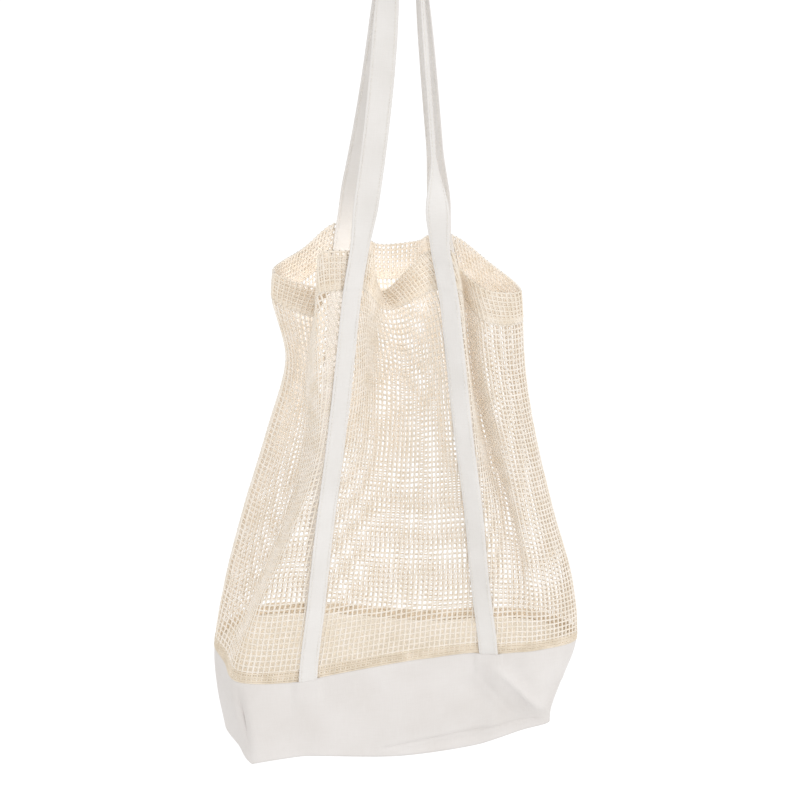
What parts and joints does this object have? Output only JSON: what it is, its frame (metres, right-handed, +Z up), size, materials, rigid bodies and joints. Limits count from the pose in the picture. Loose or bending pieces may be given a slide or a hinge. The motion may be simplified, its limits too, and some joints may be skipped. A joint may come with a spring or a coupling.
{
  "type": "cotton net tote bag",
  "caption": "Hanging tote bag of cream cotton net with a turned-over hem, a boxed canvas base and long canvas handles sewn up the outside of its front and the inside of its back.",
  "frame": {"origin": "the hang point: the underside of the handles' loops, midway between the two handles", "axes": "+Z up, +X to the right as the bag's front is seen, -Y to the front"},
  "size_m": [0.3736, 0.1769, 0.8266],
  "materials": {
    "net": "matt natural cotton yarn, open square net",
    "canvas": "matt plain-weave cotton canvas, off-white",
    "strap": "matt folded cotton canvas strap, off-white"
  },
  "bodies": {
    "root": {"front_net": "net", "back_net": "net", "canvas_base": "canvas", "front_strap": "strap", "back_strap": "strap"}
  },
  "joints": []
}
